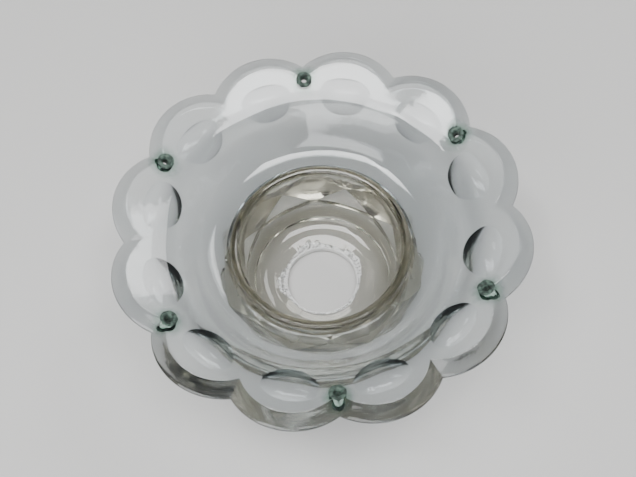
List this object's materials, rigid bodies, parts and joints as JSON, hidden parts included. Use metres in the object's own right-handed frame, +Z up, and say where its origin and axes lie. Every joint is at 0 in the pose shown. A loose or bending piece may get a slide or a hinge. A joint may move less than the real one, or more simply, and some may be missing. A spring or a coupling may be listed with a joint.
{
  "type": "glass candle cup with drip dish",
  "caption": "Cut-glass candle cup open through its floor, with a scalloped drip dish that rests round its neck and eyelets for hanging prisms.",
  "frame": {"origin": "on the upright axis, at the bottom of the cup's foot", "axes": "+Z up along the cup's axis; +Y through the first pin hole"},
  "size_m": [0.1172, 0.1172, 0.046],
  "materials": {
    "cup_glass": "clear polished cut glass, ground frosted edge at the floor hole",
    "dish_glass": "clear polished glass with polished cuts",
    "green_brass": "brass turned dark green by verdigris"
  },
  "bodies": {
    "cup": {"faceted_cup": "cup_glass"},
    "dish": {"scalloped_dish": "dish_glass", "pin_eyelet_1": "green_brass", "pin_eyelet_2": "green_brass", "pin_eyelet_3": "green_brass", "pin_eyelet_4": "green_brass", "pin_eyelet_5": "green_brass", "pin_eyelet_6": "green_brass"}
  },
  "joints": [
    {"name": "dish_lift", "type": "slide", "parent": "cup", "child": "dish", "axis": [0, 0, 1], "range_m": [0, 0.03]}
  ]
}
